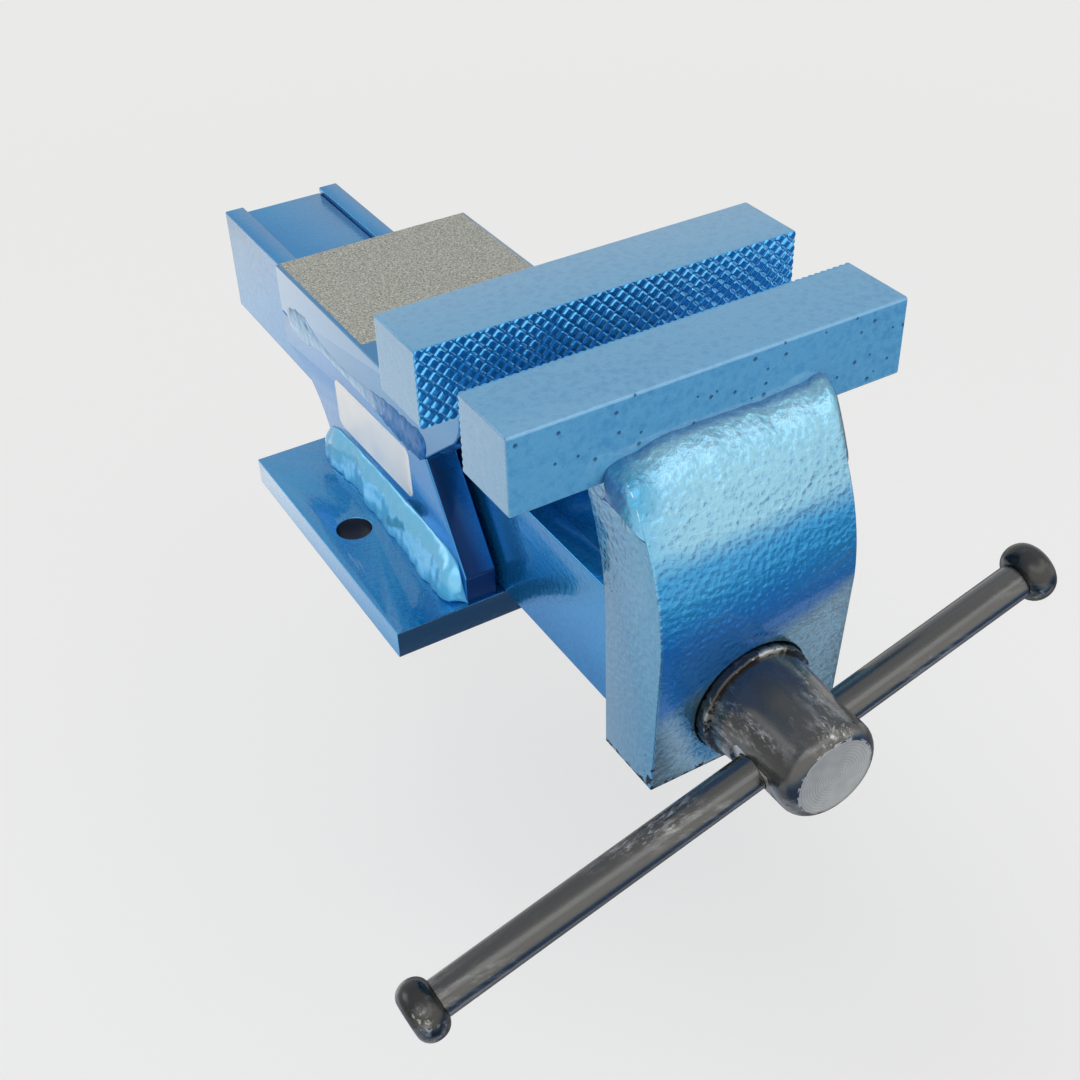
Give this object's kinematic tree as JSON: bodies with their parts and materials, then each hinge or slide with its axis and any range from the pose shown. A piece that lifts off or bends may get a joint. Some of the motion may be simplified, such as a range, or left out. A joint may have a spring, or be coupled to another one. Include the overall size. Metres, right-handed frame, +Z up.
{
  "type": "parallel bench vise",
  "caption": "Welded steel parallel bench vise with cross-hatched jaws, a sliding carrier driven by a screw, a sliding handle bar, an anvil face and a bolt-down base plate.",
  "frame": {"origin": "underside of the base plate, midway between its two bolt holes", "axes": "+Z up from the bench, -Y along the spindle towards the handle, +X to the right seen from the handle"},
  "size_m": [0.2109, 0.3679, 0.1404],
  "materials": {
    "body_paint": "glossy hammered blue enamel on plate",
    "block_paint": "glossy hammered blue enamel, ground bare grey on top of the anvil",
    "jaw_paint": "glossy hammered blue enamel on bar",
    "slide_paint": "glossy blue enamel",
    "carrier_paint": "glossy hammered blue enamel on a flame-cut face",
    "weld_paint": "glossy blue enamel over weld beads",
    "black_steel": "black oxide, scuffed grey",
    "dark_steel": "plain dark steel",
    "bare_iron": "bare machined cast iron",
    "bright_steel": "turned steel"
  },
  "bodies": {
    "vise_body": {"base_plate": "body_paint", "left_cheek": "body_paint", "right_cheek": "body_paint", "anvil_block": "block_paint", "fixed_jaw": "jaw_paint", "left_foot_weld": "weld_paint", "right_foot_weld": "weld_paint", "left_side_weld": "weld_paint", "right_side_weld": "weld_paint", "fixed_jaw_lower_weld": "weld_paint", "fixed_jaw_upper_weld": "weld_paint", "spindle_nut": "bare_iron", "nut_screws": "dark_steel"},
    "moving_jaw": {"slide_left_bar": "slide_paint", "slide_right_bar": "slide_paint", "slide_top_plate": "slide_paint", "jaw_carrier": "carrier_paint", "moving_jaw": "jaw_paint", "carrier_front_weld": "weld_paint", "carrier_rear_weld": "weld_paint"},
    "spindle": {"spindle": "black_steel", "thrust_ring": "black_steel", "thrust_washer": "bright_steel", "retaining_collar": "dark_steel", "collar_pin": "bright_steel"},
    "handle": {"handle_bar": "black_steel", "left_knob": "black_steel", "right_knob": "black_steel"}
  },
  "joints": [
    {"name": "jaw_slide", "type": "slide", "parent": "vise_body", "child": "moving_jaw", "axis": [0, -1, 0], "range_m": [-0.0231, 0.1016]},
    {"name": "spindle_turn", "type": "hinge", "parent": "moving_jaw", "child": "spindle", "pos_m": [0, -0.15, 0.0282], "axis": [0, -1, 0], "range_deg": [-1662, 7314]},
    {"name": "bar_slide", "type": "slide", "parent": "spindle", "child": "handle", "axis": [0.9608, 0, 0.2773], "range_m": [-0.062, 0.1]}
  ],
  "couplings": [
    {"joint": "jaw_slide", "follows": "spindle_turn", "m_per_rad": 0.00079577}
  ]
}
